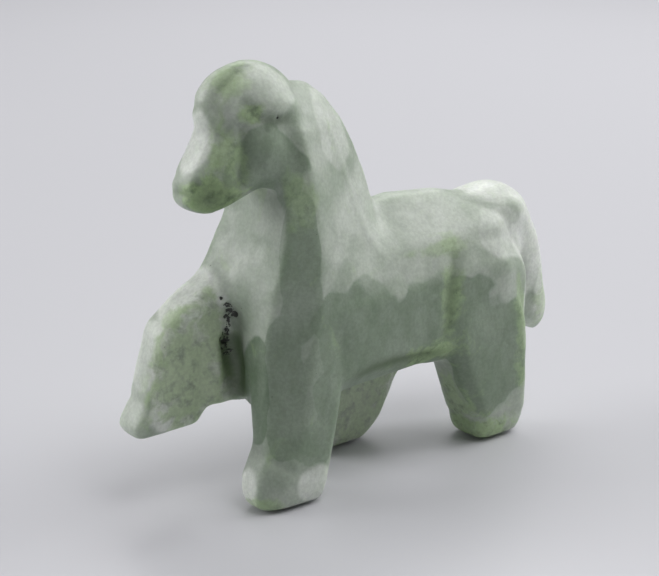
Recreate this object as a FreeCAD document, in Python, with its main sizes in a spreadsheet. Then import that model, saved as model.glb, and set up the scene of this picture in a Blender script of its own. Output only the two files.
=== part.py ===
"""Carved jade horse, a small free-standing figurine.

The horse is one piece of stone: a slab 16 mm thick, sawn to a side profile and
then ground with flat bevels.  It faces -Y, its left side is +X and it stands on
Z = 0.  The origin is under the middle of the whole figure.

Every mass of the body is a ruled loft through a few cross-sections, and each
cross-section is a bevelled outline whose sizes are cells of the sheet.
"""
import FreeCAD, Part
import os

import Sketcher

DOC = FreeCAD.newDocument("JadeHorse")
SHEET = DOC.addObject("Spreadsheet::Sheet", "sizes")

# --- Cross-sections -----------------------------------------------------------
# Across is measured from the middle of the slab.  Each row is one station.

# Head, neck and barrel are alike on both sides, so a station gives one half.

# Barrel, cut across the length (station at y): flat of the spine, lower edge of
# the back bevel, the upright side, and the flat of the belly.
BARREL_SIZES = ("y", "spine_w", "spine_z", "bevel_w", "bevel_z", "side_w",
                "side_top", "side_low", "belly_w", "belly_z")
BARREL = {
    "shoulder": (-13.0, 1.0, 30.5, 5.8, 27.0, 7.80, 23.0, 14.2, 5.6, 11.4),
    "girth": (-5.0, 1.0, 31.6, 5.8, 27.0, 7.60, 22.5, 14.4, 5.6, 12.0),
    "waist": (3.0, 1.2, 32.3, 5.6, 27.2, 7.20, 22.5, 14.6, 5.4, 12.2),
    "loin": (10.0, 1.2, 31.8, 5.8, 27.4, 7.50, 23.5, 14.0, 5.4, 11.2),
    "haunch": (15.6, 1.2, 30.6, 5.6, 27.6, 7.75, 23.0, 14.0, 6.0, 12.4),
    "buttock": (20.2, 1.4, 27.2, 4.4, 25.2, 6.40, 21.0, 15.5, 4.5, 14.0),
}

# Neck, shoulders and chest, cut level (station at z): the front facet, the front
# and back edges of the side facet, and the narrow crest of the mane.
NECK_SIZES = ("z", "front_w", "front_y", "side_w", "side_y", "mane_w", "mane_y",
              "crest_w", "crest_y")
NECK = {
    "underside": (11.0, 3.6, -18.4, 6.6, -14.5, 6.0, -10.5, 3.0, -9.5),
    "breast": (14.0, 4.8, -18.9, 7.85, -14.8, 7.00, -8.0, 3.0, -6.0),
    "elbow": (19.0, 5.0, -18.9, 7.85, -14.0, 7.00, -4.5, 3.0, -2.5),
    "shoulder": (24.5, 5.8, -18.4, 7.85, -13.0, 6.60, -1.8, 1.5, 0.4),
    "base": (28.0, 6.2, -17.3, 7.70, -12.9, 4.60, -1.8, 1.0, 1.0),
    "withers": (32.6, 6.3, -16.4, 7.20, -12.8, 2.90, -2.9, 0.8, -0.5),
    "middle": (36.0, 5.4, -16.0, 6.60, -12.9, 2.40, -4.2, 0.8, -1.6),
    "throat": (39.0, 4.6, -16.5, 6.00, -13.2, 2.20, -5.4, 0.8, -3.0),
    "nape": (42.4, 3.8, -17.0, 5.20, -13.6, 2.10, -7.0, 0.8, -4.9),
    "poll": (45.2, 2.8, -17.0, 3.80, -14.0, 1.80, -9.0, 0.8, -7.4),
    "top": (46.9, 1.8, -16.0, 2.20, -13.8, 1.20, -10.8, 0.6, -9.8),
}

# Head, cut across the length (station at y): bridge of the nose, upper and lower
# edges of the cheek, and the jaw.
HEAD_SIZES = ("y", "bridge_w", "bridge_z", "upper_w", "upper_z", "lower_w",
              "lower_z", "jaw_w", "jaw_z")
HEAD = {
    "lips": (-26.0, 1.2, 37.8, 1.9, 37.1, 1.9, 36.2, 1.2, 35.4),
    "nostril": (-25.0, 1.4, 39.4, 2.6, 38.2, 2.6, 35.8, 1.5, 34.6),
    "muzzle": (-23.6, 1.4, 41.7, 3.1, 39.7, 3.2, 35.8, 1.8, 34.2),
    "face": (-21.6, 1.6, 44.8, 3.6, 42.0, 3.8, 36.6, 2.4, 34.9),
    "cheek": (-18.0, 2.0, 46.5, 4.2, 44.0, 4.6, 38.2, 3.2, 36.5),
    "jaw": (-14.0, 2.0, 47.0, 4.4, 44.4, 5.0, 39.4, 3.6, 37.9),
    "ear": (-11.0, 1.4, 46.4, 3.6, 43.5, 4.4, 40.0, 3.4, 38.6),
}

# Legs, cut level (station at z): an upright block whose outer front edge is
# ground off in one wide bevel and whose other three edges have a small one.
# The slant is how much further back the inner end of the front face lies.
LEG_SIZES = ("z", "inner", "outer", "front", "rear", "bevel_w", "bevel_y", "corner",
             "slant")
STANDING_FORELEG = {
    "sole": (0.0, 2.4, 7.85, -20.9, -12.3, 1.1, 2.4, 0.8, 0),
    "toe": (1.4, 2.1, 7.85, -21.2, -11.9, 1.5, 3.4, 0.8, 0),
    "hoof": (3.6, 2.0, 7.85, -21.0, -11.6, 1.5, 3.6, 0.8, 0),
    "pastern": (7.4, 2.2, 7.85, -19.4, -10.8, 1.7, 3.4, 0.8, 0),
    "knee": (11.6, 1.9, 7.85, -19.3, -10.0, 2.8, 4.4, 0.8, 0),
    "forearm": (17.0, 1.0, 7.85, -18.9, -9.6, 2.8, 4.8, 0.8, 0),
}
RAISED_FORELEG = {
    "sole": (8.3, -2.9, -7.2, -30.4, -22.2, 0.6, 0.8, 0.6, 0),
    "toe": (9.6, -2.4, -7.6, -31.0, -21.8, 0.5, 0.6, 0.5, 0),
    "hoof": (12.2, -2.2, -7.6, -29.4, -20.8, 0.5, 0.6, 0.5, 0),
    "shin": (17.0, -2.2, -7.6, -28.2, -18.0, 0.6, 0.8, 0.5, 0),
    "knee": (20.6, -2.2, -7.6, -27.2, -16.5, 0.9, 1.4, 0.5, 0),
    "thigh": (23.0, -1.4, -7.5, -24.4, -15.0, 1.1, 1.6, 1.2, 0),
    "shoulder": (25.4, -1.0, -7.4, -20.2, -14.0, 1.0, 1.6, 1.2, 0),
}

# Chest above the raised foreleg, from its shoulder across to the other side.
CHEST_CORNER = {
    "underside": (22.4, 3.4, -7.4, -20.6, -14.0, 1.0, 1.6, 0.8, 2.4),
    "breast": (23.8, 5.0, -7.4, -22.4, -14.0, 1.0, 1.6, 0.8, 4.1),
    "ramp": (25.4, 5.4, -7.4, -20.2, -14.0, 1.0, 1.6, 0.8, 2.1),
    "point": (29.5, 5.8, -7.3, -17.7, -14.0, 0.9, 1.4, 0.8, 0.8),
    "collar": (33.0, 5.6, -6.4, -16.3, -13.0, 0.9, 1.4, 0.6, 0.1),
}
LEFT_HIND_LEG = {
    "sole": (0.0, 1.2, 7.7, 11.8, 19.2, 0.9, 1.2, 0.8, 0),
    "hoof": (3.2, 0.8, 7.85, 11.4, 19.9, 1.0, 1.4, 0.9, 0),
    "hock": (9.0, 1.2, 7.85, 8.9, 20.0, 1.0, 1.6, 1.0, 0),
    "thigh": (15.0, 0.6, 7.85, 6.8, 19.8, 1.0, 1.6, 1.2, 0),
    "hip": (22.0, 0.4, 7.20, 6.8, 17.6, 1.0, 1.6, 1.4, 0),
}
RIGHT_HIND_LEG = {
    "sole": (0.0, -2.1, -7.7, -7.0, 1.8, 0.9, 1.2, 0.8, 0),
    "hoof": (3.2, -1.8, -7.85, -6.8, 4.2, 1.0, 1.4, 0.9, 0),
    "hock": (8.0, -1.8, -7.85, -5.0, 6.9, 1.0, 1.6, 1.0, 0),
    "gaskin": (12.6, -1.6, -7.85, -1.8, 12.0, 1.0, 1.6, 1.0, 0),
    "thigh": (16.0, -0.6, -7.85, 3.0, 19.2, 1.0, 1.6, 1.2, 0),
    "hip": (22.0, -0.4, -7.20, 6.8, 17.6, 1.0, 1.6, 1.4, 0),
}

# Stone left between the raised foreleg and the chest.
WEB = {
    "underside": (10.8, -1.4, -6.6, -21.8, -15.0, 0.6, 0.8, 0.6, 0),
    "middle": (17.0, -0.9, -6.8, -21.8, -15.0, 0.6, 0.8, 1.0, 0),
    "head": (23.0, -1.2, -6.6, -20.6, -15.0, 0.6, 0.8, 1.0, 0),
}

# Tail, one side profile drawn at full size either side of the middle and again,
# shrunk towards its hub, at each side: distance from the middle, and scale.
TAIL_WIDTHS = {"core": (1.8, 1.0), "side": (4.1, 0.78)}
TAIL_HUB = (16.2, 21.4)
TAIL = {
    "dock": (12.0, 29.4), "root": (15.2, 30.8), "crown": (18.0, 31.5),
    "arch": (20.9, 31.2), "bend": (23.5, 29.2), "fall": (26.0, 24.6),
    "drop": (27.1, 19.6), "swell": (28.6, 13.8), "tip": (28.3, 11.6),
    "heel": (26.8, 10.5), "inner": (24.4, 11.6), "cleft": (20.4, 15.0),
    "seat": (15.6, 21.6),
}

# The stations above are measured along the length from the middle of the stance.
# This moves the stone so that the origin is under the middle of the whole figure.
SHIFT_Y = 1.2

# Rounded masses on the head: centre and half-sizes along x, y and z.
DOMES = {
    "forelock": (0.0, -17.5, 44.8, 4.2, 6.1, 5.0),
    "left_ear": (3.1, -15.9, 44.9, 1.8, 3.2, 2.1),
    "right_ear": (-3.1, -15.9, 44.9, 1.8, 3.2, 2.1),
    "left_cheek": (3.0, -16.2, 40.2, 2.0, 3.9, 4.0),
    "right_cheek": (-3.0, -16.2, 40.2, 2.0, 3.9, 4.0),
}
DOME_SIZES = ("cx", "cy", "cz", "rx", "ry", "rz")


# --- The sheet ------------------------------------------------------------------
TABLES = (
    ("barrel", BARREL_SIZES, BARREL),
    ("neck", NECK_SIZES, NECK),
    ("head", HEAD_SIZES, HEAD),
    ("left_fore", LEG_SIZES, STANDING_FORELEG),
    ("right_fore", LEG_SIZES, RAISED_FORELEG),
    ("chest", LEG_SIZES, CHEST_CORNER),
    ("left_hind", LEG_SIZES, LEFT_HIND_LEG),
    ("right_hind", LEG_SIZES, RIGHT_HIND_LEG),
    ("web", LEG_SIZES, WEB),
    ("tail", ("y", "z"), TAIL),
    ("tail", ("y", "z"), {"hub": TAIL_HUB}),
    ("tail", ("half", "scale"), TAIL_WIDTHS),
    ("dome", DOME_SIZES, DOMES),
    ("stone", ("y",), {"shift": (SHIFT_Y,)}),
)


def fill_sheet():
    """Write every size to a cell of its own, named mass_station_size."""
    row = 1
    for mass, columns, stations in TABLES:
        for station, values in stations.items():
            for column, value in zip(columns, values):
                SHEET.set(f"A{row}", f"{mass} {station} {column}")
                SHEET.set(f"B{row}", str(value))
                SHEET.setAlias(f"B{row}", f"{mass}_{station}_{column}")
                row += 1
    DOC.recompute()


# --- Sketches and lofts -----------------------------------------------------------
def origin_plane(body, role):
    """One of the body's own three origin planes."""
    return next(part for part in body.Origin.OriginFeatures if part.Role == role)


def outline_sketch(body, name, role, offset, points):
    """A closed outline on an origin plane moved by offset along its normal.

    offset and both numbers of each point are expressions on the sheet.
    """
    sketch = body.newObject("Sketcher::SketchObject", name)
    sketch.AttachmentSupport = [(origin_plane(body, role), "")]
    sketch.MapMode = "FlatFace"
    sketch.setExpression("AttachmentOffset.Base.z", offset)
    corners = [FreeCAD.Vector(SHEET.evalExpression(across), SHEET.evalExpression(up), 0)
               for across, up in points]
    for start, end in zip(corners, corners[1:] + corners[:1]):
        sketch.addGeometry(Part.LineSegment(start, end))
    count = len(corners)
    for index, (across, up) in enumerate(points):
        previous = (index - 1) % count
        sketch.addConstraint(Sketcher.Constraint("Coincident", previous, 2, index, 1))
        for kind, value, size in (("DistanceX", corners[index].x, across),
                                  ("DistanceY", corners[index].y, up)):
            mark = sketch.addConstraint(
                Sketcher.Constraint(kind, -1, 1, index, 1, value))
            sketch.setExpression(f"Constraints[{mark}]", size)
    return sketch


def loft(body, name, sketches):
    """Ruled loft through the sketches, added to the body."""
    feature = body.newObject("PartDesign::AdditiveLoft", name)
    feature.Profile = sketches[0]
    feature.Sections = sketches[1:]
    feature.Ruled = True
    feature.Refine = False
    return feature


def mirrored(half):
    """Full outline of a mass that is alike on both sides, from its left half."""
    return half + [(f"-({across})", up) for across, up in reversed(half)]


def symmetric_mass(body, mass, role, sign, stations, pairs):
    """Loft of mirrored outlines.  sign turns a station's place into an offset."""
    sketches = []
    for station in stations:
        cell = f"sizes.{mass}_{station}_"
        half = [(cell + across, cell + up) for across, up in pairs]
        place = "y" if role == "XZ_Plane" else "z"
        sketches.append(outline_sketch(body, f"{mass}_{station}", role,
                                       f"{sign}{cell}{place}", mirrored(half)))
    return loft(body, mass, sketches)


def leg(body, mass, stations, outward):
    """Upright loft.  outward is +1 on the horse's left and -1 on its right."""
    sketches = []
    for station in stations:
        cell = f"sizes.{mass}_{station}_"
        inner, outer, front, rear = (cell + part for part in
                                     ("inner", "outer", "front", "rear"))
        corner = cell + "corner"
        inner_front = f"{front} + {cell}slant"
        in_edge = f"{inner} + {outward} * {corner}"
        out_edge = f"{outer} - {outward} * {corner}"
        points = [
            (in_edge, inner_front),
            (f"{outer} - {outward} * {cell}bevel_w", front),
            (outer, f"{front} + {cell}bevel_y"),
            (outer, f"{rear} - {corner}"),
            (out_edge, rear),
            (in_edge, rear),
            (inner, f"{rear} - {corner}"),
            (inner, f"{inner_front} + {corner}"),
        ]
        sketches.append(outline_sketch(body, f"{mass}_{station}", "XY_Plane",
                                       cell + "z", points))
    return loft(body, mass, sketches)


def tail(body):
    """Loft from one side of the tail to the other through its side profiles."""
    sketches = []
    for number, (sign, width) in enumerate((("-", "side"), ("-", "core"),
                                            ("", "core"), ("", "side"))):
        cell = f"sizes.tail_{width}_"
        points = [tuple(f"sizes.tail_hub_{axis} + {cell}scale * "
                        f"(sizes.tail_{point}_{axis} - sizes.tail_hub_{axis})"
                        for axis in "yz") for point in TAIL]
        sketches.append(outline_sketch(body, f"tail_{number}", "YZ_Plane",
                                       f"{sign}{cell}half", points))
    return loft(body, "tail", sketches)


def dome(body, name):
    """A rounded mass on the head: an ellipsoid with its axes along x, y and z."""
    feature = body.newObject("PartDesign::AdditiveEllipsoid", name)
    cell = f"sizes.dome_{name}_"
    for size, setting in (("rz", "Radius1"), ("rx", "Radius2"), ("ry", "Radius3")):
        feature.setExpression(setting, cell + size)
    feature.Angle1 = -90
    feature.Angle2 = 90
    feature.Angle3 = 360
    feature.Refine = False
    feature.AttachmentSupport = [(origin_plane(body, "XY_Plane"), "")]
    feature.MapMode = "ObjectXY"
    for axis in "xyz":
        feature.setExpression(f"AttachmentOffset.Base.{axis}", f"{cell}c{axis}")
    return feature


# --- The figure ---------------------------------------------------------------------
def carve_horse():
    """The whole stone, one body."""
    body = DOC.addObject("PartDesign::Body", "jade_horse")
    body.Label = "jade_horse"
    symmetric_mass(body, "barrel", "XZ_Plane", "-", BARREL,
                   [("spine_w", "spine_z"), ("bevel_w", "bevel_z"),
                    ("side_w", "side_top"), ("side_w", "side_low"),
                    ("belly_w", "belly_z")])
    symmetric_mass(body, "neck", "XY_Plane", "", NECK,
                   [("front_w", "front_y"), ("side_w", "side_y"),
                    ("mane_w", "mane_y"), ("crest_w", "crest_y")])
    symmetric_mass(body, "head", "XZ_Plane", "-", HEAD,
                   [("bridge_w", "bridge_z"), ("upper_w", "upper_z"),
                    ("lower_w", "lower_z"), ("jaw_w", "jaw_z")])
    leg(body, "left_fore", STANDING_FORELEG, 1)
    leg(body, "right_fore", RAISED_FORELEG, -1)
    leg(body, "chest", CHEST_CORNER, -1)
    leg(body, "web", WEB, -1)
    leg(body, "left_hind", LEFT_HIND_LEG, 1)
    leg(body, "right_hind", RIGHT_HIND_LEG, -1)
    tail(body)
    for name in DOMES:
        dome(body, name)
    body.setExpression("Placement.Base.y", "sizes.stone_shift_y")
    DOC.recompute()
    return body


def check(body):
    """Stop with a message if any object failed or the stone is not one solid."""
    for thing in DOC.Objects:
        if set(thing.State) & {"Invalid", "Error"}:
            raise RuntimeError(f"{thing.Name} failed: {thing.State}")
    shape = body.Shape
    if shape.isNull() or not shape.isValid():
        raise RuntimeError(f"{body.Name} has no valid shape")
    if len(shape.Solids) != 1:
        raise RuntimeError(f"{body.Name} is {len(shape.Solids)} solids, not one")
    box = shape.BoundBox
    print(f"{body.Label}: {box.XLength:.2f} x {box.YLength:.2f} x {box.ZLength:.2f} mm")
    print(f"x {box.XMin:.2f} {box.XMax:.2f}, y {box.YMin:.2f} {box.YMax:.2f}, "
          f"z {box.ZMin:.2f} {box.ZMax:.2f}, volume {shape.Volume:.0f} mm3")


fill_sheet()
HORSE = carve_horse()
check(HORSE)
os.makedirs("parts", exist_ok=True)
HORSE.Shape.exportStep(f"parts/{HORSE.Label}.step")
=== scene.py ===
"""Looks of the carved jade horse: a polished stone skin over the CAD solid.

Lengths in the carving code are millimetres, as in the CAD model.  The finished
piece is scaled to metres.  The horse faces -Y, its left side is +X, +Z is up.
"""

import math
import random

import bpy
import numpy as np
from mathutils import Matrix, Vector, noise

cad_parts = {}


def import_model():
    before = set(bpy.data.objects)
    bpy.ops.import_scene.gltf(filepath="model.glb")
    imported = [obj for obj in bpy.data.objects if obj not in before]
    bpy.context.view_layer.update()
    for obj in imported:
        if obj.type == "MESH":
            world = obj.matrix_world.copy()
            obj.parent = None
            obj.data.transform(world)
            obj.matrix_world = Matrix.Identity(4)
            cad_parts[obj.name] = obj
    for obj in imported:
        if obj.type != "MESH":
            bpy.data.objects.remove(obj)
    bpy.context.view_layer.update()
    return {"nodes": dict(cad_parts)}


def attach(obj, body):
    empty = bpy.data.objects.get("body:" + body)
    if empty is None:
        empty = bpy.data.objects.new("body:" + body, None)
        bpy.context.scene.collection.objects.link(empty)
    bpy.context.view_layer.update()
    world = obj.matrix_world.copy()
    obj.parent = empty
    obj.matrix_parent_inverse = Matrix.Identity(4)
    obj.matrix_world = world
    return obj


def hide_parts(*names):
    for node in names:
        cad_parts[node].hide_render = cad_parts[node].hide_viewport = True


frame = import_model()

NODE = "jade_horse"
MM = 0.001
SEED = 7

# Lengths of the skin, in millimetres.
VOXEL = 0.28            # side of its faces
WELD = 0.002            # vertices closer than this are one
SOOT_REACH = 1.1        # how far the soot of the crack fades out to
SOLE_GUARD = 1.5        # height over which the unevenness dies away to the soles
WAVE = (3.4, 0.09)      # unevenness: size across, height
RIPPLE = (1.1, 0.018)   # and the finer one on top of it

# Smoothing: the share of the way that a vertex moves to its neighbours' mean.
MELT_STEP = 0.6
RELAX_STEPS = (0.62, -0.64)
FIRST_MELT = 10
LAST_RELAX = 6


# --- Stone skin -----------------------------------------------------------------
def remeshed_copy():
    """The CAD solid as an even grid of small faces, in millimetres."""
    mesh = frame["nodes"][NODE].data.copy()
    mesh.transform(Matrix.Scale(1 / MM, 4))
    piece = bpy.data.objects.new("horse_skin", mesh)
    bpy.context.scene.collection.objects.link(piece)
    weld = piece.modifiers.new("weld", "WELD")
    weld.merge_threshold = WELD
    grid = piece.modifiers.new("grid", "REMESH")
    grid.mode = "VOXEL"
    grid.voxel_size = VOXEL
    grid.use_smooth_shade = True
    graph = bpy.context.evaluated_depsgraph_get()
    result = bpy.data.meshes.new_from_object(piece.evaluated_get(graph))
    piece.modifiers.clear()
    piece.data = result
    return piece


class Skin:
    """Vertex positions of the piece, their neighbours, and how much green dirt, painted shade and
    soot each one carries.
    """

    def __init__(self, mesh):
        self.mesh = mesh
        count = len(mesh.vertices)
        self.at = np.empty(count * 3)
        mesh.vertices.foreach_get("co", self.at)
        self.at = self.at.reshape(-1, 3)
        edges = np.empty(len(mesh.edges) * 2, int)
        mesh.edges.foreach_get("vertices", edges)
        self.edges = edges.reshape(-1, 2)
        self.degree = np.bincount(edges, minlength=count).astype(float)
        self.stain_and_shade = np.zeros(count)
        self.soot = np.zeros(count)

    def spread(self, values):
        """Mean of each vertex's neighbours."""
        one, two = self.edges.T
        total = np.empty_like(values)
        for column in range(values.shape[1]):
            line = values[:, column]
            total[:, column] = (np.bincount(one, line[two], len(line))
                                + np.bincount(two, line[one], len(line)))
        return total / self.degree[:, None]

    def relax(self, rounds, weight=1.0):
        """Smooth without shrinking: each pass in is followed by a pass out."""
        weight = np.reshape(weight, (-1, 1))
        for _ in range(rounds):
            for step in RELAX_STEPS:
                self.at += step * weight * (self.spread(self.at) - self.at)

    def melt(self, rounds, weight=1.0):
        """Plain smoothing, which rounds edges over and fills corners."""
        weight = np.reshape(weight, (-1, 1))
        for _ in range(rounds):
            self.at += MELT_STEP * weight * (self.spread(self.at) - self.at)

    def normals(self):
        """Unit vertex normals of the mesh as it is now."""
        self.store()
        out = np.empty(len(self.at) * 3, np.float32)
        self.mesh.vertices.foreach_get("normal", out)
        return out.reshape(-1, 3).astype(float)

    def store(self):
        """Write the positions back to the mesh."""
        self.mesh.vertices.foreach_set("co", self.at.ravel())
        self.mesh.update()

    def paint(self):
        """Write how much green dirt and painted shade, and how much soot, each vertex carries,
        for the material.
        """
        for name, amounts in (("stain_and_shade", self.stain_and_shade), ("soot", self.soot)):
            layer = self.mesh.attributes.new(name, "FLOAT", "POINT")
            layer.data.foreach_set("value", np.clip(amounts, 0, 1).astype(np.float32))


def near(skin, centre, reach):
    """1 at centre, falling smoothly to 0 at reach (one number or one per axis)."""
    away = np.linalg.norm((skin.at - centre) / np.array(reach), axis=1)
    return np.clip(1 - away ** 2, 0, 1) ** 2


def to_stroke(points, at):
    """Distance from each position to a line through points, and how far along."""
    best = np.full(len(at), np.inf)
    along = np.zeros(len(at))
    points = np.array(points, float)
    spans = len(points) - 1
    for number in range(spans):
        start, run = points[number], points[number + 1] - points[number]
        part = np.clip((at - start) @ run / (run @ run), 0, 1)
        away = np.linalg.norm(at - start - part[:, None] * run, axis=1)
        closer = away < best
        best[closer] = away[closer]
        along[closer] = (number + part[closer]) / spans
    return best, along


def groove(skin, points, width, depth, stain_and_shade=0.0):
    """Press a stroke into the stone and darken it with green dirt and painted shade; a negative
    depth raises a ridge.

    Width and depth are in millimetres, and the stroke tapers off at both ends.
    """
    away, along = to_stroke(points, skin.at)
    cut = np.exp(-(away / width) ** 2) * np.sin(math.pi * np.clip(along, 0, 1)) ** 0.5
    skin.stain_and_shade += stain_and_shade * cut
    skin.at -= (depth * cut)[:, None] * skin.normals()


def dent(skin, centre, radius, depth, stain_and_shade=0.0):
    """Press a small round hollow and darken it with green dirt and painted shade; a negative
    depth raises a bump.
    """
    cut = near(skin, np.array(centre), radius)
    skin.stain_and_shade += stain_and_shade * cut
    skin.at -= (depth * cut)[:, None] * skin.normals()


def both_sides(points):
    """The stroke and its mirror image on the horse's right."""
    return points, [(-x, y, z) for x, y, z in points]


def soften_joins(skin):
    """Round over the corners where one mass runs into the next."""
    for centre, reach, rounds in (
            ((-4.5, -24.5, 15), (7, 9, 14), 70),    # raised foreleg
            ((-1, -18.0, 26), (9, 5, 6), 90),       # and where it runs into the chest
            ((0, 23.0, 21), (8, 9, 15), 60),        # tail
            ((0, 17.5, 29.0), (7, 7, 5), 140),      # tail into the rump
            ((0, 8.0, 29), (10, 14, 5), 36),        # back
            ((3.5, -0.5, 28), (6, 5, 5), 50),       # neck into the back, on the left
            ((-3.5, -0.5, 28), (6, 5, 5), 50),      # and on the right
            ((0, 19.0, 24), (10, 5, 8), 60),        # buttocks
            ((0, -16.5, 44), (7, 9, 7), 26),        # ears and cheeks into the head
            ((0, -24.5, 37), (5, 4, 5), 10),        # lips
            ((0, -2.0, 24), (10, 9, 8), 30),        # shoulder into the barrel
            ((0, 12, 13), (9, 8, 5), 30),           # thighs into the belly
            ((0, -9, 12), (9, 7, 5), 30),           # forelegs into the belly
            ((5.4, -16.0, 0), (7, 9, 5.5), 130),    # left forefoot
            ((4.5, 16.5, 0), (8, 9, 5), 130),       # left hind foot
            ((-5, -1.0, 0), (8, 10, 5), 130)):      # right hind foot
        skin.melt(rounds, near(skin, np.array(centre, float), reach))


def fill_out(skin):
    """Broad swellings on both sides."""
    for (x, y, z), reach, rise in (
            ((4.2, 20.0, 28.4), (2.6, 4.6, 3.6), 1.2),      # root of the tail
            ((4.0, 24.5, 20.0), (3.0, 4.0, 8.0), 0.5),      # side of the tail
            ((4.5, 15.0, 28.5), (3.5, 4.5, 3.0), 0.5)):     # rump
        for side in (1, -1):
            dent(skin, (side * x, y, z), reach, -rise)


def carve_head(skin):
    """Brows, forelock, eyes, ears, cheeks, mouth and nostrils."""
    brow = [(2.5, -21.0, 45.4), (2.8, -19.8, 46.9), (2.7, -18.6, 47.8), (2.4, -15.9, 48.8),
            (2.4, -13.6, 48.4)]
    forelock_edge = [(1.8, -21.8, 45.8), (1.7, -20.4, 47.6), (1.5, -18.6, 48.8),
                     (1.2, -16.4, 49.4)]
    eye = [(3.2, -19.2, 46.4), (3.4, -18.2, 45.6), (3.9, -17.3, 44.9)]
    under_ear = [(3.9, -17.6, 44.7), (4.3, -16.4, 44.0), (4.6, -14.9, 43.8), (4.9, -13.2, 44.2)]
    cheek_front = [(3.6, -19.0, 44.0), (3.6, -19.0, 42.4), (3.6, -19.1, 40.4), (3.9, -19.5, 38.4),
                   (4.0, -19.8, 36.8)]
    cheek_rear = [(4.6, -13.6, 42.6), (5.0, -13.2, 41.0), (5.2, -13.2, 39.5), (5.1, -13.6, 37.8)]
    forehead = [(-3.0, -20.6, 45.2), (-1.5, -21.9, 45.4), (1.5, -21.9, 45.4),
                (3.0, -20.6, 45.2)]
    mouth = [(-2.4, -23.4, 36.4), (-1.4, -24.8, 36.7), (1.4, -24.8, 36.7),
             (2.4, -23.4, 36.4)]
    for stroke, width, depth, stain_and_shade in (
            (brow, 1.1, -0.15, 0.0),
            (forelock_edge, 0.7, 0.25, 0.6),
            (eye, 0.7, 0.3, 0.55),
            (under_ear, 0.6, 0.25, 0.6),
            (cheek_front, 0.7, 0.4, 0.5),
            (cheek_rear, 1.1, 0.25, 0.15)):
        for side in both_sides(stroke):
            groove(skin, side, width, depth, stain_and_shade)
    groove(skin, forehead, 0.6, 0.25, 0.3)
    groove(skin, mouth, 0.35, 0.22, 0.4)
    for side in (1, -1):
        dent(skin, (side * 2.1, -23.9, 38.0), 0.8, 0.15, 0.4)       # nostril
        dent(skin, (side * 4.4, -16.8, 41.4), 2.6, -0.25)           # cheek
    crown = near(skin, np.array((0, -17, 45.5)), (7, 6, 4))
    skin.melt(6, crown)
    # Painted shade under the muzzle, laid into the stain layer.
    muzzle_underside_shade = near(skin, np.array((2.6, -22.2, 36.4)), (3.4, 3.6, 3.0))
    skin.stain_and_shade += 0.7 * muzzle_underside_shade


def carve_body(skin):
    """Edge of the mane, flank, belly line, edge of the tail, and the shoulder."""
    mane_edge = [(2.4, -8.6, 43.6), (2.9, -6.6, 41.0), (3.3, -5.0, 36.2), (4.4, -3.4, 30.8),
                 (6.1, -1.1, 26.1)]
    flank = [(6.6, 8.8, 26.0), (7.0, 8.4, 24.1), (7.3, 7.6, 21.4), (7.4, 7.4, 18.0),
             (7.2, 6.8, 14.8)]
    belly = [(7.6, -7.6, 13.6), (7.6, -3.9, 14.4), (7.4, -0.2, 14.2), (7.0, 4.0, 13.7),
             (6.7, 7.2, 12.9)]
    tail_edge = [(1.4, 13.4, 31.0), (3.0, 15.4, 29.9), (4.2, 17.6, 27.8), (4.9, 19.6, 24.8),
                 (4.7, 21.6, 21.4), (4.0, 23.6, 17.6), (3.6, 24.8, 13.6)]
    fore_shoulder = [(7.9, -9.6, 22.0), (7.9, -9.2, 18.0), (7.8, -9.0, 14.0)]
    # The flank and belly strokes are darkened as painted shade in their creases.
    for stroke, width, depth, stain_and_shade in (
            (mane_edge, 0.6, -0.12, 0.0),
            (flank, 1.0, 0.4, 0.55),
            (belly, 0.8, 0.25, 1.1),
            (tail_edge, 0.8, 0.35, 0.1),
            (fore_shoulder, 1.2, 0.15, 0.0)):
        for side in both_sides(stroke):
            groove(skin, side, width, depth, stain_and_shade)


def carve_legs(skin):
    """Hoof cuts, one shallow stroke round the visible faces of each foot."""
    left_fore, left_hind, right_hind, raised = (
        [(2.0, -17.4, 6.4), (2.2, -19.2, 6.6), (6.4, -18.4, 6.8), (7.8, -15.6, 4.6),
         (7.9, -11.0, 3.6)],
        [(1.2, 17.0, 3.0), (1.6, 12.6, 2.9), (6.6, 12.6, 2.9), (7.9, 14.6, 3.2),
         (7.9, 19.4, 3.1), (6.6, 21.1, 3.1)],
        [(-1.8, 2.0, 3.0), (-2.2, -5.6, 3.0), (-6.8, -5.6, 3.0), (-7.9, -3.6, 3.1),
         (-7.9, 3.4, 3.1)],
        [(-2.2, -21.6, 11.0), (-2.3, -27.6, 12.4), (-7.2, -27.8, 12.4), (-7.7, -21.6, 11.0)],
    )
    for cut in (left_fore, left_hind, right_hind, raised):
        groove(skin, cut, 0.5, 0.16)


def pit(skin, draw, middle, scatter, radius, deepest):
    """A small open pore with dirt in it, somewhere about middle."""
    spot = [at + draw.gauss(0, away) for at, away in zip(middle, scatter)]
    radius = draw.uniform(*radius)
    dent(skin, spot, radius, draw.uniform(0.3, 1.0) * deepest)
    skin.soot += draw.uniform(0.7, 1.35) * near(skin, np.array(spot), radius)


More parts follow.
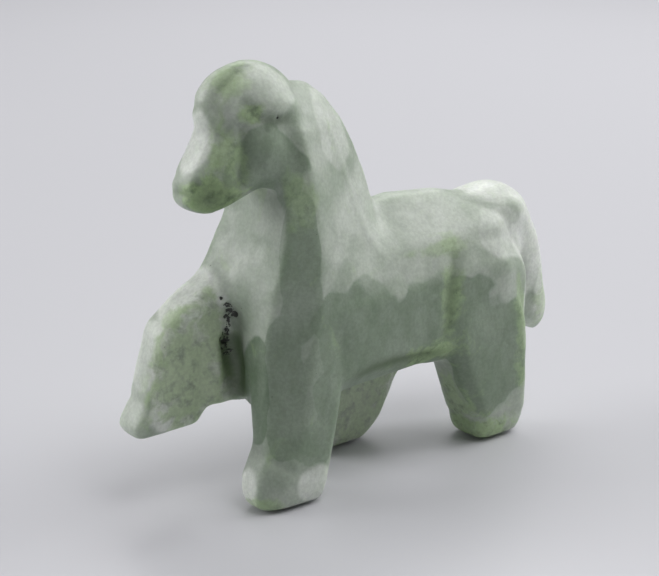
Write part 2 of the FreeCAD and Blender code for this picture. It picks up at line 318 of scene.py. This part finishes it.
def weather(skin):
    """The crack behind the raised foreleg, pits, and the grinder's unevenness."""
    draw = random.Random(SEED)
    valley = [(-0.9, -18.0, 23.2), (-1.1, -18.1, 21.4), (-1.2, -18.2, 19.4),
              (-1.1, -18.0, 17.4), (-0.8, -17.7, 15.0), (-0.8, -17.2, 10.8)]
    crack = []
    for (x, y, z), (_, next_y, next_z) in zip(valley, valley[1:]):
        for part in (0, 0.33, 0.67):
            crack.append((x, y + (next_y - y) * part + draw.uniform(-0.5, 0.5),
                          z + (next_z - z) * part))
    away, along = to_stroke(crack, skin.at)
    fading_down = np.clip(1.5 - 1.5 * along, 0, 1)
    skin.soot += np.clip(1 - away / SOOT_REACH, 0, 1) * fading_down

    # Pits beside the crack, in the cheek, and at the end of the forelock.
    for _ in range(34):
        pit(skin, draw, draw.choice(valley[:5]), (0.3, 0.6, 0.9), (0.28, 0.6), 0.35)
    for _ in range(18):
        pit(skin, draw, (4.3, -16.4, 42.2), (0.2, 1.6, 1.5), (0.3, 0.45), 0.15)
    for _ in range(6):
        pit(skin, draw, (1.4, -20.6, 46.6), (0.4, 0.8, 0.6), (0.3, 0.45), 0.1)

    # The valley that the crack lies in, deeper and with darker painted shade low down.
    groove(skin, valley, 1.6, 0.6, 0.4)
    groove(skin, valley[2:], 1.1, 0.9, 1.2)

    lift = 0.0
    for (across, height), shift in ((WAVE, (0, 0, 0)), (RIPPLE, (9, 4, 2))):
        swell = [noise.noise(Vector(place) / across + Vector(shift)) for place in skin.at]
        lift = lift + height * np.array(swell)
    above_sole = np.clip(skin.at[:, 2] / SOLE_GUARD, 0, 1)
    skin.at += (above_sole * lift)[:, None] * skin.normals()


def main_shape():
    """The whole carving: masses, joins, strokes and wear, standing on its soles."""
    piece = remeshed_copy()
    skin = Skin(piece.data)
    skin.melt(FIRST_MELT)
    fill_out(skin)
    soften_joins(skin)
    carve_head(skin)
    carve_body(skin)
    carve_legs(skin)
    skin.relax(LAST_RELAX)
    weather(skin)
    skin.at[:, 2] = np.maximum(skin.at[:, 2], 0)
    skin.store()
    skin.paint()
    piece.data.transform(Matrix.Scale(MM, 4))
    return piece


PIECE = main_shape()


# --- Stone material, with painted light and shade ---------------------------------
class Graph:
    """Short names for making and joining shader nodes."""

    def __init__(self, name):
        self.material = bpy.data.materials.new(name)
        self.material.use_nodes = True
        self.tree = self.material.node_tree
        self.shader = self.tree.nodes["Principled BSDF"]
        self.place = self.add("ShaderNodeTexCoord").outputs["Object"]

    def add(self, kind, **settings):
        """A new node with its settings."""
        node = self.tree.nodes.new(kind)
        for name, value in settings.items():
            setattr(node, name, value)
        return node

    def join(self, source, target):
        """A link from an output to an input."""
        self.tree.links.new(source, target)

    def put(self, socket, value):
        """Feed an input from an output, or set it to a fixed value."""
        if isinstance(value, bpy.types.NodeSocket):
            self.join(value, socket)
        else:
            socket.default_value = value

    def math(self, operation, one, two=0.0):
        """One sum of two values."""
        node = self.add("ShaderNodeMath", operation=operation)
        self.put(node.inputs[0], one)
        self.put(node.inputs[1], two)
        return node.outputs[0]

    def grain(self, size_mm, detail=3.0, rough=0.5, warp=0.0, stretch=(1, 1, 1)):
        """Noise whose blobs are about size_mm across."""
        spread = self.add("ShaderNodeMapping")
        self.join(self.place, spread.inputs["Vector"])
        spread.inputs["Scale"].default_value = stretch
        node = self.add("ShaderNodeTexNoise")
        self.join(spread.outputs[0], node.inputs["Vector"])
        node.inputs["Scale"].default_value = 1 / (size_mm * MM)
        node.inputs["Detail"].default_value = detail
        node.inputs["Roughness"].default_value = rough
        node.inputs["Distortion"].default_value = warp
        return node.outputs["Fac"]

    def span(self, value, low, high, out_low=0.0, out_high=1.0):
        """Map low..high smoothly to out_low..out_high."""
        node = self.add("ShaderNodeMapRange", interpolation_type="SMOOTHSTEP")
        self.put(node.inputs["Value"], value)
        for name, number in (("From Min", low), ("From Max", high),
                             ("To Min", out_low), ("To Max", out_high)):
            node.inputs[name].default_value = number
        return node.outputs[0]

    def blend(self, amount, one, two):
        """The first colour, covered by the second as far as amount says."""
        node = self.add("ShaderNodeMix", data_type="RGBA")
        self.put(node.inputs[0], amount)
        for socket, value in ((node.inputs[6], one), (node.inputs[7], two)):
            self.put(socket, value)
        return node.outputs[2]

    def layer(self, name):
        """A number stored on the mesh."""
        return self.add("ShaderNodeAttribute", attribute_name=name).outputs["Fac"]

    def patch(self, centre, reach, edge, fade=0.35):
        """1 inside an egg-shaped region, fading to 0 at its wandering edge."""
        shift = self.add("ShaderNodeMapping", vector_type="POINT")
        self.join(self.place, shift.inputs["Vector"])
        scale = [1 / (size * MM) for size in reach]
        shift.inputs["Scale"].default_value = scale
        shift.inputs["Location"].default_value = [-at * MM * by for at, by in zip(centre, scale)]
        length = self.add("ShaderNodeVectorMath", operation="LENGTH")
        self.join(shift.outputs[0], length.inputs[0])
        wander = self.math("ADD", length.outputs["Value"], edge)
        return self.span(wander, 1 + fade, 1 - fade)

    def zones(self, table, edge, fade=0.35):
        """The strongest of the patches in a table, at each place."""
        total = 0.0
        for centre, reach, strength in table:
            here = self.math("MULTIPLY", self.patch(centre, reach, edge, fade), strength)
            total = self.math("MAXIMUM", here, total)
        return total


# Colours of the stone and of its painted light and shade, from the painted milky light to the
# painted deep-green shade.
PAINTED_LIGHT_MILKY = (0.74, 0.77, 0.72, 1)
PALE = (0.43, 0.48, 0.41, 1)
GREY_GREEN = (0.30, 0.36, 0.28, 1)
PAINTED_SHADE_GREEN = (0.175, 0.242, 0.16, 1)
MOSS = (0.36, 0.49, 0.25, 1)
BOTTLE = (0.09, 0.145, 0.06, 1)
SOOT = (0.010, 0.012, 0.008, 1)

# How far each layer covers what lies under it, where it is at its strongest.
PAINTED_SHADE_COVER = 0.82
PAINTED_LIGHT_COVER = 0.95
MOSS_AND_CREASE_SHADE_COVER = 0.66
STRAY_COVER = 0.34
STAIN_AND_SHADE_COVER = 0.85
SPECK_COVER = 0.8
SOOT_COVER = 0.96

# Zones of painted light, painted shade and moss: middle and reach, in millimetres, and strength.
# Painted light: a milky tone laid where the lamps fall and where thin parts glow.
PAINTED_LIGHT_ZONES = (
    ((-4.5, -22.5, 24.5), (5.5, 6.0, 3.8), 1.0),        # top of the raised foreleg
    ((-5.0, -26.6, 18.5), (3.6, 1.9, 6.0), 0.7),        # its front
    ((-5.4, -29.2, 11.5), (3.6, 2.2, 4.4), 0.3),        # and its toe
    ((-1.9, -23.5, 15.0), (1.6, 6.0, 9.5), 1.0),        # and its inner side
    ((-2.2, 0.0, 6.0), (2.6, 7.0, 8.0), 1.1),           # right hind leg
    ((4.0, -20.6, 3.8), (2.6, 1.9, 4.6), 1.1),          # front of the left fore hoof
    ((8.2, -12.8, 2.4), (1.4, 3.4, 2.6), 0.8),          # and its side
    ((2.2, -7.0, 41.0), (2.2, 4.0, 6.0), 0.45),         # mane
    ((0.0, 4.0, 30.0), (11.0, 17.0, 8.2), 0.3),         # back
    ((6.0, 17.5, 26.5), (3.0, 4.5, 3.6), 0.6),          # rump
    ((0.0, 22.5, 25.0), (6.5, 7.0, 9.0), 1.0),          # tail
    ((2.0, 27.0, 17.0), (4.0, 2.6, 6.0), 1.0),          # rear of the tail
    ((6.0, 22.0, 9.0), (3.4, 1.8, 11.0), 0.6),          # rear of the left hind leg
    ((3.4, -17.4, 47.6), (3.2, 6.4, 3.4), 0.42),        # brow and ear
    ((0.0, -23.0, 41.5), (2.2, 4.0, 3.4), 0.8),         # bridge of the nose
    ((0.0, -20.6, 46.8), (1.7, 2.0, 2.4), 0.35),        # forelock
)
# Painted shade: deep green on faces turned away from the lamps, under the muzzle and low on the
# barrel.
PAINTED_SHADE_ZONES = (
    ((6.9, -14.4, 29.0), (1.5, 2.9, 11.0), 0.75),       # front bevel of the neck
    ((6.6, -16.4, 14.5), (2.3, 3.3, 8.5), 0.85),        # and of the left foreleg
    ((3.0, -18.2, 13.6), (3.4, 1.6, 7.4), 1.3),         # and the face beside it
    ((8.2, -6.5, 18.0), (3.4, 6.5, 7.6), 1.0),          # left shoulder
    ((8.2, -12.5, 12.5), (2.4, 4.6, 8.0), 0.7),         # side of the left foreleg
    ((8.6, 3.5, 12.8), (3.4, 19.5, 11.4), 1.0),         # left side of the barrel
    ((-8.6, 3.5, 12.8), (3.4, 19.5, 11.4), 1.0),        # and the right
    ((2.4, -22.4, 35.2), (2.8, 3.4, 1.5), 0.9),         # underside of the muzzle
    ((5.4, -17.0, 39.6), (2.6, 5.0, 5.0), 0.95),        # left cheek
    ((-5.4, -17.0, 39.6), (2.6, 5.0, 5.0), 0.95),       # and the right one
)
MOSSY_AND_CREASE_SHADE = (
    ((2.6, -22.0, 36.4), (2.8, 3.2, 2.2), 1.3),         # muzzle
    ((3.0, -20.6, 40.6), (1.8, 1.6, 3.6), 0.9),         # side of the nose
    ((1.2, -19.4, 48.4), (1.8, 2.6, 1.9), 0.8),         # forelock
    ((3.7, -18.3, 44.9), (1.3, 1.5, 1.0), 1.1),         # eye
    ((6.2, -13.6, 35.6), (1.6, 1.8, 2.8), 0.6),         # throat
    ((-1.9, -22.8, 15.2), (2.2, 5.4, 8.4), 1.0),        # side of the raised foreleg
    ((-2.2, 0.5, 7.0), (2.6, 6.0, 8.0), 0.9),           # right hind leg
    ((5.0, 14.6, 0.8), (5.0, 5.0, 3.0), 1.2),           # left hind foot
    ((4.0, 12.0, 7.0), (2.6, 2.4, 5.0), 1.0),           # and the front of its leg
    # Painted shade: the crease under the belly is darkened where shade falls.
    ((6.2, 5.5, 14.0), (2.2, 5.0, 1.6), 1.2),           # crease under the belly
    ((7.0, 8.0, 20.5), (1.3, 1.5, 4.8), 0.9),           # flank
    ((6.0, 7.0, 26.4), (1.5, 4.0, 0.7), 0.6),           # streak above the flank
    ((3.0, 27.6, 16.0), (2.4, 2.2, 4.2), 0.8),          # tail
    ((7.4, 19.6, 14.0), (1.2, 1.4, 6.4), 0.8),          # rear edge of the left thigh
    ((-7.0, 13.0, 20.0), (2.8, 5.0, 5.0), 0.9),         # right thigh
    ((-6.8, -11.0, 32.0), (2.8, 3.6, 5.0), 0.9),        # right side of the neck
    ((5.6, -18.8, 0.4), (3.4, 3.0, 1.4), 0.9),          # sole of the left fore hoof
)


def jade():
    """Polished jade: cloudy grey-green, painted light and painted shade, mossy patches, specks,
    and a soft glow.
    """
    g = Graph("polished_jade")
    cloud = g.span(g.grain(6.0, 4.0, 0.55), 0.36, 0.66)
    colour = g.blend(cloud, GREY_GREEN, PALE)

    # Zones: painted shade, painted light, then moss (with painted shade in the belly crease),
    # with wandering edges and streaks in them.
    broad = g.span(g.grain(6.5, 2.0, 0.45), 0.25, 0.75, -0.24, 0.24)
    fine = g.span(g.grain(2.6, 5.0, 0.62, 0.4), 0.30, 0.70, -0.42, 0.42)
    streak = g.span(g.grain(1.8, 4.0, 0.6, 0.3, (1, 1, 0.5)), 0.30, 0.70, 0.70, 1.0)
    # Painted shade: deep green where the faces are turned from the lamps.
    painted_shade_mask = g.math("MULTIPLY", g.zones(PAINTED_SHADE_ZONES, broad, 0.045), streak)
    colour = g.blend(g.math("MULTIPLY", painted_shade_mask, PAINTED_SHADE_COVER), colour, PAINTED_SHADE_GREEN)
    # Painted light: the milky tone where the lamps fall.
    painted_light_mask = g.math("MULTIPLY", g.zones(PAINTED_LIGHT_ZONES, broad, 0.12), streak)
    colour = g.blend(g.math("MULTIPLY", painted_light_mask, PAINTED_LIGHT_COVER), colour, PAINTED_LIGHT_MILKY)
    moss_and_crease_shade = g.zones(MOSSY_AND_CREASE_SHADE, fine)
    moss_tone = g.blend(g.span(g.grain(1.3, 4.0, 0.6), 0.45, 0.75), MOSS, BOTTLE)
    colour = g.blend(g.math("MULTIPLY", moss_and_crease_shade, MOSS_AND_CREASE_SHADE_COVER), colour, moss_tone)

    # Stray green anywhere, and green dirt and painted shade in the strokes.
    stray = g.span(g.grain(4.2, 4.0, 0.6, 0.6), 0.60, 0.72)
    colour = g.blend(g.math("MULTIPLY", stray, STRAY_COVER), colour, MOSS)
    # Green dirt and painted shade: the strokes are darkened towards bottle green.
    colour = g.blend(g.math("MULTIPLY", g.layer("stain_and_shade"), STAIN_AND_SHADE_COVER), colour, BOTTLE)

    # Black specks here and there, and ragged soot in the crack and the pits.
    here_and_there = g.span(g.grain(2.1, 2.0), 0.66, 0.72)
    speck = g.span(g.grain(0.30, 2.0, 0.5), 0.66, 0.74)
    specks = g.math("MULTIPLY", g.math("MULTIPLY", speck, here_and_there), SPECK_COVER)
    ragged = g.span(g.grain(0.55, 4.0, 0.65), 0.3, 0.7, -0.34, 0.26)
    soot = g.span(g.math("ADD", g.layer("soot"), ragged), 0.74, 0.90, 0.0, SOOT_COVER)
    colour = g.blend(g.math("MAXIMUM", soot, specks), colour, SOOT)

    # Crumbs: the fine grain of the stone, in its brightness.
    crumbs = g.span(g.grain(0.42, 3.0, 0.65), 0.34, 0.66, 0.92, 1.06)
    tint = g.add("ShaderNodeVectorMath", operation="SCALE")
    g.join(colour, tint.inputs[0])
    g.join(crumbs, tint.inputs["Scale"])
    g.join(tint.outputs[0], g.shader.inputs["Base Color"])

    # An uneven polish, and light that scatters about 2 mm into the stone.
    shine = g.span(g.grain(1.7, 4.0, 0.6), 0.3, 0.7, 0.36, 0.52)
    g.join(shine, g.shader.inputs["Roughness"])
    g.shader.inputs["IOR"].default_value = 1.55
    g.shader.inputs["Subsurface Weight"].default_value = 0.8
    g.shader.inputs["Subsurface Radius"].default_value = (1.0, 1.15, 0.85)
    g.shader.inputs["Subsurface Scale"].default_value = 1.8 * MM

    # Fine scratches of the polish, drawn out along Y.
    bump = g.add("ShaderNodeBump")
    bump.inputs["Strength"].default_value = 0.25
    bump.inputs["Distance"].default_value = 0.05 * MM
    scratches = g.math("MULTIPLY", g.grain(0.35, 2.0, 0.5, 0.0, (1, 0.18, 1)), 0.6)
    polish = g.math("ADD", g.grain(0.5, 4.0, 0.6), scratches)
    g.join(polish, bump.inputs["Height"])
    g.join(bump.outputs["Normal"], g.shader.inputs["Normal"])
    return g.material


PIECE.data.materials.clear()
PIECE.data.materials.append(jade())
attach(PIECE, "root")
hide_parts(NODE)


# --- Stage, in metres -------------------------------------------------------------
FLOOR_HALF = 1.8
FLOOR_COLOUR = (0.56, 0.56, 0.59)
FLOOR_ROUGHNESS = 0.35

# Lights: name, place, aim, size, power.
LIGHTS = (
    ("front_box", (-0.34, -0.36, 0.22), (0, 0, 0.025), (0.34, 0.34), 1.6),
    ("rear_box", (0.12, 0.48, 0.30), (0, 0, 0.025), (0.36, 0.36), 1.55),
    ("top_box", (0.16, 0.10, 0.46), (0, 0, 0.02), (0.30, 0.30), 1.0),
    ("far_box", (-0.42, 0.36, 0.50), (-0.50, 0.44, 0), (0.50, 0.50), 3.0),
)

# Camera: degrees round from straight in front and above the floor, and its lens.
CAMERA_AZIMUTH, CAMERA_HEIGHT = 52, 18
CAMERA_PLACE_MM = (121.708, -99.927, 72.480)
FOCAL_PIXELS = 1400
FRAME_WIDTH_PIXELS = 659
SENSOR_WIDTH = 36


def plain(name, colour, roughness):
    """A painted surface of one even colour, for the stage only."""
    material = bpy.data.materials.new(name)
    material.use_nodes = True
    shader = material.node_tree.nodes["Principled BSDF"]
    shader.inputs["Base Color"].default_value = (*colour, 1)
    shader.inputs["Roughness"].default_value = roughness
    return material


def floor():
    """A pale floor under the soles."""
    far = FLOOR_HALF
    corners = [(-far, -far, 0), (far, -far, 0), (far, far, 0), (-far, far, 0)]
    mesh = bpy.data.meshes.new("floor")
    mesh.from_pydata(corners, [], [(0, 1, 2, 3)])
    sheet = bpy.data.objects.new("floor", mesh)
    bpy.context.scene.collection.objects.link(sheet)
    mesh.materials.append(plain("floor_paint", FLOOR_COLOUR, FLOOR_ROUGHNESS))


def soft_light(name, place, aim, size, power):
    """A square soft box, turned towards its aim."""
    light = bpy.data.lights.new(name, "AREA")
    light.shape = "RECTANGLE"
    light.size, light.size_y = size
    light.energy = power
    lamp = bpy.data.objects.new(name, light)
    lamp.location = place
    lamp.rotation_euler = (Vector(aim) - Vector(place)).to_track_quat("-Z", "Y").to_euler()
    bpy.context.scene.collection.objects.link(lamp)


def camera():
    """Looks at the horse's left front quarter from a little above."""
    azimuth, height = math.radians(CAMERA_AZIMUTH), math.radians(CAMERA_HEIGHT)
    back = Vector((math.sin(azimuth) * math.cos(height),
                   -math.cos(azimuth) * math.cos(height), math.sin(height)))
    data = bpy.data.cameras.new("camera")
    data.sensor_width = SENSOR_WIDTH
    data.lens = SENSOR_WIDTH * FOCAL_PIXELS / FRAME_WIDTH_PIXELS
    data.clip_start = 0.01
    view = bpy.data.objects.new("camera", data)
    view.location = Vector(CAMERA_PLACE_MM) * MM
    view.rotation_euler = back.to_track_quat("Z", "Y").to_euler()
    bpy.context.scene.collection.objects.link(view)
    bpy.context.scene.camera = view


def world():
    """Even, nearly white light from all round."""
    sky = bpy.data.worlds.new("studio")
    bpy.context.scene.world = sky
    sky.use_nodes = True
    back = sky.node_tree.nodes["Background"]
    back.inputs["Color"].default_value = (0.9, 0.9, 0.92, 1)
    back.inputs["Strength"].default_value = 0.24
    bpy.context.scene.view_settings.view_transform = "Standard"


floor()
for light_box in LIGHTS:
    soft_light(*light_box)
camera()
world()
